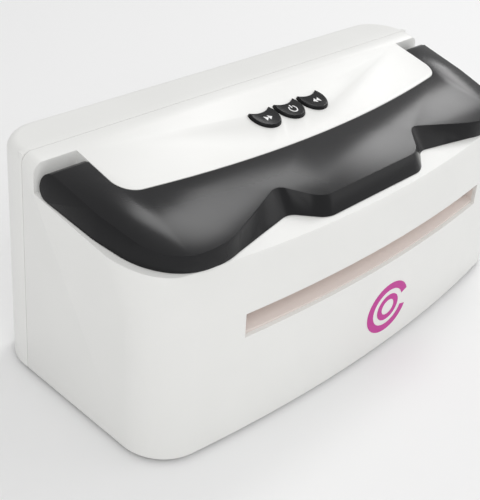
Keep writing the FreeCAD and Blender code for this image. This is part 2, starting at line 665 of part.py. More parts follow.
def shaft(name, y, z, gear_end):
    """A turned roller shaft: thick core between the frames, journals at both ends."""
    core = rod(name + "_core", "x", ("0 - roller_length / 2 - 1", y, z), "roller_length + 2", "core_radius")
    journal = rod(name + "_journal", "x", ("0 - frame_outer - 6", y, z), gear_end, "shaft_radius")
    return node(name, fuse(name, core, journal))


def sleeve(name, y, z):
    outer = rod(name + "_outer", "x", ("0 - roller_length / 2", y, z), "roller_length", "roller_radius")
    inner = rod(name + "_inner", "x", ("0 - roller_length / 2 - 1", y, z), "roller_length + 2", "core_radius")
    return node(name, cut(name, outer, inner))


def build_rollers():
    journal = "frame_outer + 6 + gear_start + gear_width + 1"
    for nip, y in NIPS:
        for level, z in (("lower", "low_z"), ("upper", "high_z")):
            shaft("%s_%s_shaft" % (nip, level), y, z, journal)
            sleeve("%s_%s_sleeve" % (nip, level), y, z)
        bushes, sliders, coils = [], [], []
        for side, sx in (("left", -1), ("right", 1)):
            tag = "%s_%s" % (nip, side)
            inner_x = "frame_inner - 2" if sx > 0 else "0 - frame_inner"
            body_x = "frame_inner - 2" if sx > 0 else "0 - frame_outer - 2"
            long_x = "frame_thickness + 4"
            flange = rod(tag + "_bush_flange", "x", (inner_x, y, "low_z"), 2, "bush_radius + 2")
            barrel = rod(tag + "_bush_barrel", "x", (body_x, y, "low_z"), long_x, "bush_radius")
            bore = rod(tag + "_bush_bore", "x", (body_x + " - 1", y, "low_z"), long_x + " + 2",
                       "shaft_radius + shaft_gap")
            bushes.append(cut(tag + "_bush", fuse(tag + "_bush_body", flange, barrel), bore))
            flange_x = ("frame_inner - 2.2", "frame_inner - slider_gap") if sx > 0 else \
                       ("slider_gap - frame_inner", "2.2 - frame_inner")
            block_x = ("frame_inner - 2.2", "frame_outer + 2") if sx > 0 else \
                      ("0 - frame_outer - 2", "2.2 - frame_inner")
            half_block = "slider_width / 2 - slider_gap"
            low = "high_z - slider_height / 2 + slider_gap"
            top = "high_z + slider_height / 2 - 1"
            block = box(tag + "_slider_block", block_x, ("%s - (%s)" % (y, half_block),
                        "%s + %s" % (y, half_block)), (low, top))
            cheek = box(tag + "_slider_cheek", flange_x, ("%s - (%s) - 2" % (y, half_block),
                        "%s + %s + 2" % (y, half_block)), (low, top))
            hole = rod(tag + "_slider_bore", "x", (body_x + " - 3", y, "high_z"), long_x + " + 6",
                       "shaft_radius + shaft_gap")
            sliders.append(cut(tag + "_slider", fuse(tag + "_slider_body", block, cheek), hole))
            coils.append(coil(tag + "_coil", "frame_offset" if sx > 0 else "0 - frame_offset", y,
                              top, "window_top"))
        node(nip + "_lower_bushes", group(nip + "_lower_bushes", *bushes))
        node(nip + "_sliders", group(nip + "_sliders", *sliders))
        node(nip + "_springs", group(nip + "_springs", *coils))


def coil(name, x, y, low, top):
    """A compression spring that stands between two levels."""
    wire = 0.8
    turns = doc.addObject("Part::Helix", name + "_turns")
    turns.Radius = 2.6
    bind(turns, "Height", "(%s) - (%s) - 2 * %s" % (top, low, wire))
    bind(turns, "Pitch", "((%s) - (%s) - 2 * %s) / 4.5" % (top, low, wire))
    section = doc.addObject("Part::Circle", name + "_section")
    section.Radius = wire / 2
    section.Placement = FreeCAD.Placement(FreeCAD.Vector(2.6, 0, 0),
                                          FreeCAD.Rotation(FreeCAD.Vector(1, 0, 0), 90))
    spring = doc.addObject("Part::Sweep", name)
    spring.Sections = [section]
    spring.Spine = (turns, ["Edge1"])
    spring.Solid = True
    spring.Frenet = True
    put(spring, x, y, "%s + %s" % (low, wire))
    return spring


# ---------------------------------------------------------------- gears and motor

def flank(pitch_radius, tip_radius, root_radius, half_tooth):
    """Points of an involute flank from root to tip, as (radius, angle from the tooth's middle)."""
    base_radius = pitch_radius * math.cos(math.radians(20))
    pitch_roll = math.tan(math.radians(20)) - math.radians(20)
    points = []
    start = max(base_radius, root_radius)
    for share in (0.0, 0.5, 1.0):
        radius = start + (tip_radius - start) * share
        roll = math.acos(min(1.0, base_radius / radius))
        points.append((radius, half_tooth + pitch_roll - (math.tan(roll) - roll)))
    return points


def gear(name, teeth, start, y, z, phase, bore):
    """A spur gear on an axis along x, with one tooth centred on the phase angle."""
    module = size("gear_module")
    pitch_radius = module * teeth / 2
    tip_radius = pitch_radius + module
    root_radius = pitch_radius - 1.25 * module
    half_tooth = (math.pi * module / 2 - size("backlash")) / 2 / pitch_radius
    side = flank(pitch_radius, tip_radius, root_radius, half_tooth)

    def at(radius, angle):
        return FreeCAD.Vector(0, radius * math.cos(angle), radius * math.sin(angle))
    edges = []
    step = 2 * math.pi / teeth
    for i in range(teeth):
        middle = phase + i * step
        rising = [at(radius, middle - angle) for radius, angle in side]
        falling = [at(radius, middle + angle) for radius, angle in reversed(side)]
        root_in = at(root_radius, middle - side[0][1])
        root_out = at(root_radius, middle + side[0][1])
        next_in = at(root_radius, middle + step - side[0][1])
        edges.append(Part.LineSegment(root_in, rising[0]))
        edges.append(Part.Arc(*rising))
        edges.append(Part.Arc(rising[2], at(tip_radius, middle), falling[0]))
        edges.append(Part.Arc(*falling))
        edges.append(Part.LineSegment(falling[2], root_out))
        edges.append(Part.Arc(root_out, at(root_radius, middle + step / 2), next_in))
    face = Part.Face(Part.Wire([edge.toShape() for edge in edges]))
    blank = face.extrude(FreeCAD.Vector(size("gear_width"), 0, 0))
    hole = Part.makeCylinder(bore, size("gear_width") + 2, FreeCAD.Vector(-1, 0, 0), FreeCAD.Vector(1, 0, 0))
    wheel = blank.cut(hole)
    wheel.translate(FreeCAD.Vector(start, y, z))
    return solid_from(name + "_wheel", wheel)


def mate_phase(teeth, phase, mate_teeth, direction):
    """The phase of a second gear whose centre lies in a direction from the first, in mesh with it."""
    turns = (direction - phase) * teeth / (2 * math.pi)
    return direction + math.pi - 2 * math.pi / mate_teeth * (0.5 - turns)


def build_gears():
    roller, idler, pinion = (int(size(n)) for n in ("roller_teeth", "idler_teeth", "pinion_teeth"))
    start = size("gear_start")
    bore = size("shaft_radius") + 0.02
    low, high = size("low_z"), size("high_z")
    hot, pull = size("hot_y"), size("pull_y")
    up, down = math.pi / 2, -math.pi / 2
    drop = math.radians(size("idler_angle"))
    hot_phase = 0.0
    wheels = {}

    def add(name, teeth, y, z, phase, hole):
        wheels[name] = gear(name, teeth, start, y, z, phase, hole)
    add("hot_lower_gear", roller, hot, low, hot_phase, bore)
    add("hot_upper_gear", roller, hot, high, mate_phase(roller, hot_phase, roller, up), bore)
    idler_phase = mate_phase(roller, hot_phase, idler, -drop)
    add("idler_gear", idler, size("idler_y"), size("idler_z"), idler_phase, 3.05)
    pull_phase = mate_phase(idler, idler_phase, roller, drop)
    add("pull_lower_gear", roller, pull, low, pull_phase, bore)
    add("pull_upper_gear", roller, pull, high, mate_phase(roller, pull_phase, roller, up), bore)
    for name, wheel in wheels.items():
        node(name, group(name, wheel))
    # The pinion is moulded on the motor's output shaft, which ends just short of the motor's face.
    pinion_wheel = gear("motor_pinion", pinion, start, hot, size("motor_z"),
                        mate_phase(roller, hot_phase, pinion, down), 2.4)
    spindle = rod("pinion_shaft", "x", ("gear_start - 1", "hot_y", "motor_z"), "motor_start - gear_start + 0.7", 2.5)
    node("motor_pinion", fuse("motor_pinion", pinion_wheel, spindle))

    spindle = rod("idler_spindle", "x", ("frame_inner - 1", "idler_y", "idler_z"),
                  "gear_start + gear_width + 2 - frame_inner", 3.0)
    collar = rod("idler_collar", "x", ("frame_outer", "idler_y", "idler_z"),
                 "gear_start - frame_outer - 0.3", 5.0)
    cap = rod("idler_cap", "x", ("gear_start + gear_width + 0.3", "idler_y", "idler_z"), 1.2, 5.0)
    node("idler_stud", fuse("idler_stud", spindle, collar, cap))


MOTOR_EARS = [("hot_y - 26", "motor_z - 9"), ("hot_y + 26", "motor_z - 9")]


def build_motor():
    can = rod("motor_can", "x", ("motor_start", "hot_y", "motor_z"), "motor_length", "motor_radius")
    ears = [box("motor_ear_bar", ("motor_start", "motor_start + 1.5"), ("hot_y - 30", "hot_y + 30"),
                ("motor_z - 13", "motor_z - 5"))]
    holes = [rod("motor_ear_hole_%d" % i, "x", ("motor_start - 1", y, z), 4, 1.6)
             for i, (y, z) in enumerate(MOTOR_EARS)]
    node("drive_motor", cut("drive_motor", fuse("motor_body", can, *ears), *holes))

# ---------------------------------------------------------------- heat, guides, electrics

POWER_POSTS = [("0 - 62", "18"), ("0 - 8", "18"), ("0 - 62", "40"), ("0 - 8", "40")]


def build_heater():
    half = "frame_inner"
    gap = "throat_height / 2"
    for level, low, high, rib in (
            ("upper", "path_height + " + gap, "path_height + %s + heater_thickness" % gap, 1),
            ("lower", "path_height - %s - heater_thickness" % gap, "path_height - " + gap, -1)):
        name = "heater_plate_" + level
        plate = box(name + "_sheet", ("0 - " + half, half), ("heater_front", "heater_back"), (low, high))
        ribs = []
        for i, share in enumerate((0.15, 0.5, 0.85)):
            y = "heater_front + %s * heater_length" % share
            span = (high, high + " + 4") if rib > 0 else (low + " - 4", low)
            ribs.append(box("%s_rib_%d" % (name, i), ("4 - " + half, half + " - 4"),
                            (y + " - 0.8", y + " + 0.8"), span))
        node(name, fuse(name, plate, *ribs))
    top = "path_height + %s + heater_thickness + 4" % gap
    can = rod("thermostat_can", "z", ("40", "heater_front + 0.5 * heater_length", top), 5, 8)
    tabs = box("thermostat_tabs", ("29", "51"), ("heater_front + 0.5 * heater_length - 2",
               "heater_front + 0.5 * heater_length + 2"), (top, top + " + 1"))
    node("thermostat", fuse("thermostat", can, tabs))


def build_guides():
    half = "slot_width / 2"
    mouth, throat = "slot_height / 2", "throat_height / 2"
    chute_back = "heater_front - 0.5"
    chute_front = "0 - front_depth"
    block = wedge("chute_block", half + " + guide_wall", (chute_front, chute_back),
                  ("path_height - %s - guide_wall" % mouth, "path_height - %s - guide_wall" % throat),
                  ("path_height + %s + guide_wall" % mouth, "path_height + %s + guide_wall" % throat))
    duct = wedge("chute_duct", half, ("0 - front_depth - 10", "heater_front + 2"),
                 ("path_height - %s - 1" % mouth, "path_height - " + throat),
                 ("path_height + %s + 1" % mouth, "path_height + " + throat))
    inside = front_form("chute_limit", "wall", low="0", back="0")
    node("feed_chute", cut("feed_chute", common("chute_body", block, inside), duct))

    exit_front, exit_back = "pull_y + roller_radius + 1", "rear_depth - wall - 0.1"
    mouth = "exit_height / 2"
    block = wedge("exit_block", half + " + guide_wall", (exit_front, exit_back),
                  ("path_height - %s - guide_wall" % throat, "path_height - %s - guide_wall" % mouth),
                  ("path_height + %s + guide_wall" % throat, "path_height + %s + guide_wall" % mouth))
    duct = wedge("exit_duct", half, (exit_front + " - 1", exit_back + " + 1"),
                 ("path_height - " + throat, "path_height - " + mouth),
                 ("path_height + " + throat, "path_height + " + mouth))
    node("exit_guide", cut("exit_guide", block, duct))

    shield = box("shield_sheet", ("0 - frame_outer", "frame_outer"), ("1 - frame_front", "frame_back"),
                 ("frame_top", "frame_top + 0.8"))
    slots = [box("shield_slot_%d" % i, (x - 5, x + 5), ("0 - 60", "0 - 40"), ("frame_top - 1", "frame_top + 3"))
             for i, x in enumerate([22.0 * step for step in range(-4, 5)])]
    node("heat_shield", cut("heat_shield", shield, *slots))


def build_power():
    board_x = "0 - frame_outer - 24"
    sheet = box("power_sheet", (board_x + " - board_thickness", board_x), ("0 - 70", "0"), ("12", "74"))
    holes = [rod("power_hole_%d" % i, "x", (board_x + " - 5", y, z), 10, 1.6)
             for i, (y, z) in enumerate(POWER_POSTS)]
    node("power_board", cut("power_board", sheet, *holes))
    under = board_x + " - board_thickness"
    relay = box("relay_case", (under + " - 15", under), ("0 - 60", "0 - 41"), ("50", "66"))
    terminals = box("terminal_case", (under + " - 10", under), ("0 - 32", "0 - 8"), ("54", "66"))
    capacitor = rod("capacitor_can", "x", (under + " - 14", "0 - 20", "28"), 14, 6)
    node("power_parts", group("power_parts", relay, terminals, capacitor))
    posts = [rod("power_post_%d" % i, "x", (board_x, y, z), 24, 3.0) for i, (y, z) in enumerate(POWER_POSTS)]
    posts += [rod("motor_post_%d" % i, "x", ("frame_outer", y, z), "motor_start - frame_outer", 3.2)
              for i, (y, z) in enumerate(MOTOR_EARS)]
    node("stand_offs", group("stand_offs", *posts))

    half_w, half_h = "inlet_width / 2 - 0.1", "inlet_height / 2 - 0.1"
    body = box("inlet_body", ("0 - inlet_x - (%s)" % half_w, "%s - inlet_x" % half_w),
               ("rear_depth - 22", "rear_depth"), ("inlet_z - (%s)" % half_h, "inlet_z + %s" % half_h))
    flange = box("inlet_flange", ("0 - inlet_x - inlet_width / 2 - 2", "inlet_width / 2 + 2 - inlet_x"),
                 ("rear_depth - wall - 1.2", "rear_depth - wall"),
                 ("inlet_z - inlet_height / 2 - 2", "inlet_z + inlet_height / 2 + 2"))
    socket = box("inlet_socket", ("2.5 - inlet_x - (%s)" % half_w, "%s - 2.5 - inlet_x" % half_w),
                 ("rear_depth - 15", "rear_depth + 3"), ("2.5 + inlet_z - (%s)" % half_h, "inlet_z + %s - 2.5" % half_h))
    pins = [rod("inlet_pin_%d" % sx, "y", ("%s - inlet_x" % (sx * 4), "rear_depth - 16", "inlet_z"), 13, 1.2)
            for sx in (-1, 1)]
    node("power_inlet", fuse("power_inlet", cut("inlet_case", fuse("inlet_shell", body, flange), socket), *pins))


# ---------------------------------------------------------------- build and write

build_front_shell()
build_rear_cover()
build_base_plate()
build_handle()
build_keys()
build_control_board()
build_frames()
build_rollers()
build_gears()
build_motor()
build_heater()
build_guides()
build_power()
doc.recompute()

for obj in doc.Objects:
    if "Invalid" in obj.State or "Error" in obj.State:
        raise RuntimeError("%s did not build: %s" % (obj.Name, obj.State))
os.makedirs("parts", exist_ok=True)
for name, piece in NODES:
    if piece.Shape.isNull() or not piece.Shape.isValid():
        raise RuntimeError(name + " has no valid shape")
    if not piece.Shape.Solids:
        raise RuntimeError(name + " has no solid")
for name, piece in NODES:
    piece.Shape.exportStep("parts/%s.step" % name)
print(len(NODES), "nodes written")
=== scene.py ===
import json
import math

import bmesh
import bpy
from bpy.props import FloatProperty, FloatVectorProperty, PointerProperty
from mathutils import Matrix, Vector
from mathutils.bvhtree import BVHTree


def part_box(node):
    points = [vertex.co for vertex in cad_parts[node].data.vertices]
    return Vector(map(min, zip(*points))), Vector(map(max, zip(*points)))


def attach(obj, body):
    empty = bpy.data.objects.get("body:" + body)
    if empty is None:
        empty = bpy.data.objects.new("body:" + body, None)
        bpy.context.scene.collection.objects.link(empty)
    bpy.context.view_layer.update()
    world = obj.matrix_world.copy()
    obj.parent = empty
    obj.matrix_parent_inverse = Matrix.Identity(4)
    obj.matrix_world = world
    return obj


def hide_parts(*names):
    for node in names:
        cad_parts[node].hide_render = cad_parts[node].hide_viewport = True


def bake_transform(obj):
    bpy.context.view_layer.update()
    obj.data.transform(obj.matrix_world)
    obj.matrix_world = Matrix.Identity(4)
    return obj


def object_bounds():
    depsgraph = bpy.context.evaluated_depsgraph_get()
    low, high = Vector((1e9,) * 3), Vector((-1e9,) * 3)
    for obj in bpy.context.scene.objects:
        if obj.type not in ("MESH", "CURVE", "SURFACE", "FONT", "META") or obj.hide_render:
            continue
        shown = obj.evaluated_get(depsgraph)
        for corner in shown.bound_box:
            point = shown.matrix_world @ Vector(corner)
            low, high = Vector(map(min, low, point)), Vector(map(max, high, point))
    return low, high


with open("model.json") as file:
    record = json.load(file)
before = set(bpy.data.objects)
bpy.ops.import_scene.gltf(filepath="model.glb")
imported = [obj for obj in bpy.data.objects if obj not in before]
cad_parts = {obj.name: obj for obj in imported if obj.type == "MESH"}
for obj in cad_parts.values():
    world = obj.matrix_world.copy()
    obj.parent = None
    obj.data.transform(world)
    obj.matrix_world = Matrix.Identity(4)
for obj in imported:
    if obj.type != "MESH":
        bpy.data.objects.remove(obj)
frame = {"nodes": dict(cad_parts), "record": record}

bl_info = {
    "name": "Pouch laminator",
    "version": (1, 0, 0),
    "blender": (4, 5, 0),
    "location": "3D View > Sidebar > Laminator",
    "description": "Finishes and fine pieces of a desktop pouch laminator",
    "category": "Object",
}

LOW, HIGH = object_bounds()
TOP_FALL = math.radians(12.56)      # how steeply the sloping top falls to the front
NODES = frame["nodes"]
BODIES = frame["record"]["behaviour"]["bodies"]
BODY_OF = {node: body for body, nodes in BODIES.items() for node in nodes}
KEYS = ("run", "power", "reverse")
NIPS = ("hot", "pull")

MERGE_REACH = 6e-5                  # points nearer than this become one before edges are rounded
FLAT_ANGLE = math.radians(0.4)      # facets flatter than this to each other are joined
SHARP_ANGLE = math.radians(28)      # edges steeper than this stay sharp in the shading
SHELL_CREASE, HANDLE_CREASE, KEY_CREASE = 32.0, 38.0, 50.0     # degrees from which edges are rounded
GRAIN_DEPTH, BRUSH_DEPTH = 0.00004, 0.00005


# ---------------------------------------------------------------- settings

class LaminatorColours(bpy.types.PropertyGroup):
    """Base colours of the finishes"""

    def tint(label, text, default):
        return FloatVectorProperty(name=label, description=text, subtype="COLOR", size=3, min=0, max=1,
                                   default=default)
    shell: tint("Shell", "White moulded casing", (0.86, 0.86, 0.84))
    handle: tint("Handle", "Black handle and keys", (0.012, 0.012, 0.013))
    guide: tint("Guide", "Warm white plastic of the feed chute", (0.80, 0.72, 0.68))
    legend: tint("Legend", "Printed marks on the keys", (0.90, 0.90, 0.90))
    mark: tint("Mark", "Printed mark on the front", (0.55, 0.015, 0.30))
    rubber: tint("Rubber", "Rubber feet", (0.025, 0.025, 0.025))
    silicone: tint("Silicone", "Roller sleeves", (0.42, 0.06, 0.04))
    steel: tint("Steel", "Turned and plated steel", (0.56, 0.57, 0.59))
    sheet: tint("Sheet", "Zinc-plated sheet steel", (0.50, 0.52, 0.55))
    aluminium: tint("Aluminium", "Heater plates", (0.74, 0.75, 0.77))
    board: tint("Board", "Circuit board lacquer", (0.02, 0.16, 0.06))
    nylon: tint("Nylon", "Gears, bushes and plungers", (0.80, 0.77, 0.66))
    black_plastic: tint("Black plastic", "Base plate, inlet and housings", (0.035, 0.035, 0.037))
    floor: tint("Floor", "Studio floor", (0.93, 0.93, 0.93))


class LaminatorSizes(bpy.types.PropertyGroup):
    """Sizes of the fine pieces, in metres"""

    def length(label, text, default):
        return FloatProperty(name=label, description=text, subtype="DISTANCE", unit="LENGTH", min=0,
                             default=default)
    shell_edge: length("Shell edge", "Rounding of the casing's edges", 0.0006)
    handle_edge: length("Handle edge", "Rounding of the handle's rim", 0.0011)
    key_edge: length("Key edge", "Rounding of the keys", 0.0002)
    legend_height: length("Legend height", "Thickness of a printed legend", 0.00012)
    legend_size: length("Legend size", "Width of a key legend", 0.0066)
    mark_radius: length("Mark radius", "Outer radius of the printed mark", 0.017)
    mark_across: length("Mark across", "From the middle of the front to the mark", 0.012)
    mark_up: length("Mark up", "From the table to the middle of the mark", 0.031)
    mark_stretch: FloatProperty(name="Mark stretch", description="Width of the mark over its height",
                                min=0, default=1.25)
    recess_size: length("Recess size", "Width of a screw's cross recess", 0.0032)
    camera_distance: length("Camera distance", "From the camera to what it looks at", 0.64539)
    lens: FloatProperty(name="Lens", description="Focal length in millimetres", min=1, default=66.4)
    roll: FloatProperty(name="Roll", description="Turn of the camera about its line of sight",
                        subtype="ANGLE", default=math.radians(6.80))
    azimuth: FloatProperty(name="Azimuth", description="Direction of the camera round the object",
                           subtype="ANGLE", default=math.radians(-50.41))
    elevation: FloatProperty(name="Elevation", description="Height of the camera above the horizon",
                             subtype="ANGLE", default=math.radians(32.59))


def colours():
    return bpy.context.scene.laminator_colours


def sizes():
    return bpy.context.scene.laminator_sizes


# ---------------------------------------------------------------- materials

def new_material(name, colour, roughness, metallic=0.0):
    material = bpy.data.materials.new(name)
    material.use_nodes = True
    shader = material.node_tree.nodes["Principled BSDF"]
    shader.inputs["Base Color"].default_value = (*colour, 1)
    shader.inputs["Roughness"].default_value = roughness
    shader.inputs["Metallic"].default_value = metallic
    return material, shader


def add_noise(material, scale, detail=4.0, stretch=(1, 1, 1)):
    """A noise pattern on the object's own coordinates."""
    tree = material.node_tree
    where = tree.nodes.new("ShaderNodeTexCoord")
    mapping = tree.nodes.new("ShaderNodeMapping")
    mapping.inputs["Scale"].default_value = stretch
    noise = tree.nodes.new("ShaderNodeTexNoise")
    noise.inputs["Scale"].default_value = scale
    noise.inputs["Detail"].default_value = detail
    tree.links.new(where.outputs["Object"], mapping.inputs["Vector"])
    tree.links.new(mapping.outputs["Vector"], noise.inputs["Vector"])
    return noise


def vary_roughness(material, shader, noise, low, high):
    ramp = material.node_tree.nodes.new("ShaderNodeMapRange")
    ramp.inputs["To Min"].default_value = low
    ramp.inputs["To Max"].default_value = high
    material.node_tree.links.new(noise.outputs["Fac"], ramp.inputs["Value"])
    material.node_tree.links.new(ramp.outputs["Result"], shader.inputs["Roughness"])


def vary_colour(material, shader, noise, first, second):
    ramp = material.node_tree.nodes.new("ShaderNodeValToRGB")
    ramp.color_ramp.elements[0].position = 0.3
    ramp.color_ramp.elements[1].position = 0.7
    ramp.color_ramp.elements[0].color = (*first, 1)
    ramp.color_ramp.elements[1].color = (*second, 1)
    material.node_tree.links.new(noise.outputs["Fac"], ramp.inputs["Fac"])
    material.node_tree.links.new(ramp.outputs["Color"], shader.inputs["Base Color"])


def add_bump(material, shader, noise, strength, distance):
    bump = material.node_tree.nodes.new("ShaderNodeBump")
    bump.inputs["Strength"].default_value = strength
    bump.inputs["Distance"].default_value = distance
    material.node_tree.links.new(noise.outputs["Fac"], bump.inputs["Height"])
    material.node_tree.links.new(bump.outputs["Normal"], shader.inputs["Normal"])


def scaled(colour, factor):
    return tuple(min(1.0, part * factor) for part in colour)


def moulded(name, colour, roughness, texture=0.10, grain=1400.0, shine=0.5):
    """Injection-moulded plastic: faint cloudiness, a fine spark texture and a chosen shine."""
    material, shader = new_material(name, colour, roughness)
    cloud = add_noise(material, 18.0, 3.0)
    vary_colour(material, shader, cloud, scaled(colour, 0.985), scaled(colour, 1.01))
    vary_roughness(material, shader, add_noise(material, 60.0), roughness * 0.92, roughness * 1.08)
    add_bump(material, shader, add_noise(material, grain, 2.0), texture, GRAIN_DEPTH)
    shader.inputs["Specular IOR Level"].default_value = shine
    return material


def metal(name, colour, roughness, stretch):
    """Drawn, turned or rolled metal with fine lines across one direction."""
    material, shader = new_material(name, colour, roughness, 1.0)
    lines = add_noise(material, 300.0, 6.0, stretch)
    vary_colour(material, shader, lines, scaled(colour, 0.9), scaled(colour, 1.06))
    vary_roughness(material, shader, lines, roughness * 0.8, roughness * 1.3)
    add_bump(material, shader, lines, 0.08, BRUSH_DEPTH)
    return material


def make_finishes():
    tint = colours()
    finish = {
        "white_shell": moulded("Satin white shell", tint.shell, 0.34, 0.07, 1700.0),
        "black_gloss": moulded("Satin black handle", tint.handle, 0.2, 0.04, 1500.0, shine=0.2),
        "key_black": moulded("Black keys", tint.handle, 0.16, 0.02, 1500.0, shine=0.12),
        "guide_white": moulded("Warm white guide", tint.guide, 0.5, 0.12),
        "rubber_black": moulded("Black rubber foot", tint.rubber, 0.75, 0.35, 900.0),
        "silicone": moulded("Red silicone sleeve", tint.silicone, 0.6, 0.2, 1100.0),
        "board_green": moulded("Green board lacquer", tint.board, 0.3, 0.15, 500.0),
        "nylon": moulded("Cream nylon", tint.nylon, 0.42, 0.1),
        "black_matte": moulded("Matt black plastic", tint.black_plastic, 0.55, 0.3, 1000.0),
        "steel": metal("Turned steel", tint.steel, 0.28, (12, 1, 1)),
        "zinc_sheet": metal("Zinc sheet", tint.sheet, 0.42, (1, 1, 6)),
        "aluminium": metal("Rolled aluminium", tint.aluminium, 0.36, (1, 14, 14)),
        "spring_steel": metal("Spring steel", tint.steel, 0.2, (1, 1, 9)),
        "legend": moulded("Legend print", tint.legend, 0.5, 0.05),
        "mark": moulded("Mark print", tint.mark, 0.45, 0.05),
    }
    return finish


FINISHES = {}


def finish(name):
    if not FINISHES:
        FINISHES.update(make_finishes())
    return FINISHES[name]


# ---------------------------------------------------------------- mesh helpers

def keep(name, mesh, material, body):
    """A finished object at the origin, in one material, that rides on a body."""
    piece = bpy.data.objects.new(name, mesh)
    bpy.context.scene.collection.objects.link(piece)
    mesh.materials.clear()
    mesh.materials.append(material)
    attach(piece, body)
    return piece


def made_solid(source):
    """The evaluated object as a plain mesh."""
    graph = bpy.context.evaluated_depsgraph_get()
    return bpy.data.meshes.new_from_object(source.evaluated_get(graph))


def softened(node, width, material, crease=SHELL_CREASE):
    """A copy of a frame node with its edges rounded and its curved faces shaded smooth."""
    mesh = NODES[node].data.copy()
    shape = bmesh.new()
    shape.from_mesh(mesh)
    bmesh.ops.remove_doubles(shape, verts=shape.verts, dist=MERGE_REACH)
    bmesh.ops.dissolve_limit(shape, angle_limit=FLAT_ANGLE, verts=shape.verts, edges=shape.edges)
    shape.to_mesh(mesh)
    shape.free()
    draft = bpy.data.objects.new(node + "_draft", mesh)
    bpy.context.scene.collection.objects.link(draft)
    bevel = draft.modifiers.new("edge", "BEVEL")
    bevel.width = width
    bevel.segments = 3
    bevel.limit_method = "ANGLE"
    bevel.angle_limit = math.radians(crease)
    bevel.use_clamp_overlap = True
    solid = made_solid(draft)
    bpy.data.objects.remove(draft)
    solid.polygons.foreach_set("use_smooth", [True] * len(solid.polygons))
    solid.set_sharp_from_angle(angle=SHARP_ANGLE)
    piece = keep(node + "_finished", solid, material, BODY_OF[node])
    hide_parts(node)
    return piece


def flat_solid(name, outlines, height):
    """Closed flat plates, one for each outline of (x, y) points, from z = 0 up to a height."""
    shape = bmesh.new()
    for outline in outlines:
        low = [shape.verts.new((x, y, 0)) for x, y in outline]
        high = [shape.verts.new((x, y, height)) for x, y in outline]
        shape.faces.new(list(reversed(low)))
        shape.faces.new(high)
        count = len(outline)
        for i in range(count):
            shape.faces.new((low[i], low[(i + 1) % count], high[(i + 1) % count], high[i]))
    bmesh.ops.recalc_face_normals(shape, faces=shape.faces)
    mesh = bpy.data.meshes.new(name)
    shape.to_mesh(mesh)
    shape.free()
    return mesh


def ring_part(inner, outer, start, finish_angle, steps=36):
    """Outline of a ring or part of one, from a start to a finish angle in degrees."""
    angles = [math.radians(start + (finish_angle - start) * i / steps) for i in range(steps + 1)]
    return [(outer * math.cos(a), outer * math.sin(a)) for a in angles] + \
           [(inner * math.cos(a), inner * math.sin(a)) for a in reversed(angles)]


# ---------------------------------------------------------------- operators

class LAMINATOR_OT_casing(bpy.types.Operator):
    """Round and finish the front shell and the rear cover"""
    bl_idname = "laminator.casing"
    bl_label = "Casing"

    def execute(self, context):
        softened("front_shell", sizes().shell_edge, finish("white_shell"))
        softened("rear_cover", sizes().shell_edge, finish("white_shell"))
        softened("feed_chute", sizes().shell_edge / 2, finish("guide_white"))
        return {"FINISHED"}


class LAMINATOR_OT_handle(bpy.types.Operator):
    """Round and finish the carry handle"""
    bl_idname = "laminator.handle"
    bl_label = "Carry handle"

    def execute(self, context):
        softened("carry_handle", sizes().handle_edge, finish("black_gloss"),
                 HANDLE_CREASE)
        return {"FINISHED"}


class LAMINATOR_OT_keys(bpy.types.Operator):
    """Finish the three keys and print a plain symbol on each"""
    bl_idname = "laminator.keys"
    bl_label = "Keys and legends"

    def symbol(self, key):
        """Outlines of a key's symbol: a power sign, or two arrowheads that point to the key's side."""
        unit = sizes().legend_size / 2
        if key == "power":
            bar = [(-0.12 * unit, 0.25 * unit), (0.12 * unit, 0.25 * unit),
                   (0.12 * unit, 1.1 * unit), (-0.12 * unit, 1.1 * unit)]
            return [ring_part(0.72 * unit, 0.95 * unit, 125, 415), bar]
        way = 1 if key == "run" else -1
        return [[(way * x * unit, y * unit) for x, y in points] for points in (
            [(-0.9, -0.62), (-0.05, 0.0), (-0.9, 0.62)], [(0.0, -0.62), (0.85, 0.0), (0.0, 0.62)])]

    def execute(self, context):
        for key in KEYS:
            node = key + "_button"
            softened(node, sizes().key_edge, finish("key_black"), KEY_CREASE)
            mesh = flat_solid(key + "_legend", self.symbol(key), sizes().legend_height)
            crown = self.crown_point(node)
            mesh.transform(Matrix.Translation(crown) @ Matrix.Rotation(TOP_FALL, 4, "X"))
            legend = keep(key + "_legend", mesh, finish("legend"), BODY_OF[node])
        return {"FINISHED"}

    def crown_point(self, node):
        """Where a legend starts: near the middle of the key's flat top and sunk a little into it."""
        flat_top, shift, sunk = 0.0003, 0.0008, sizes().legend_height * 0.3
        normal = Vector((0, -math.sin(TOP_FALL), math.cos(TOP_FALL)))
        points = [v.co for v in NODES[node].data.vertices]
        top = max(point.dot(normal) for point in points)
        crown = [point for point in points if top - point.dot(normal) < flat_top]
        middle = sum(crown, Vector()) / len(crown)
        low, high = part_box(node)
        across = (low.x + high.x) / 2
        along = (min(p.y for p in crown) + max(p.y for p in crown)) / 2
        middle = Vector((across, along - shift, middle.z))
        return middle + normal * (top - middle.dot(normal) - sunk)


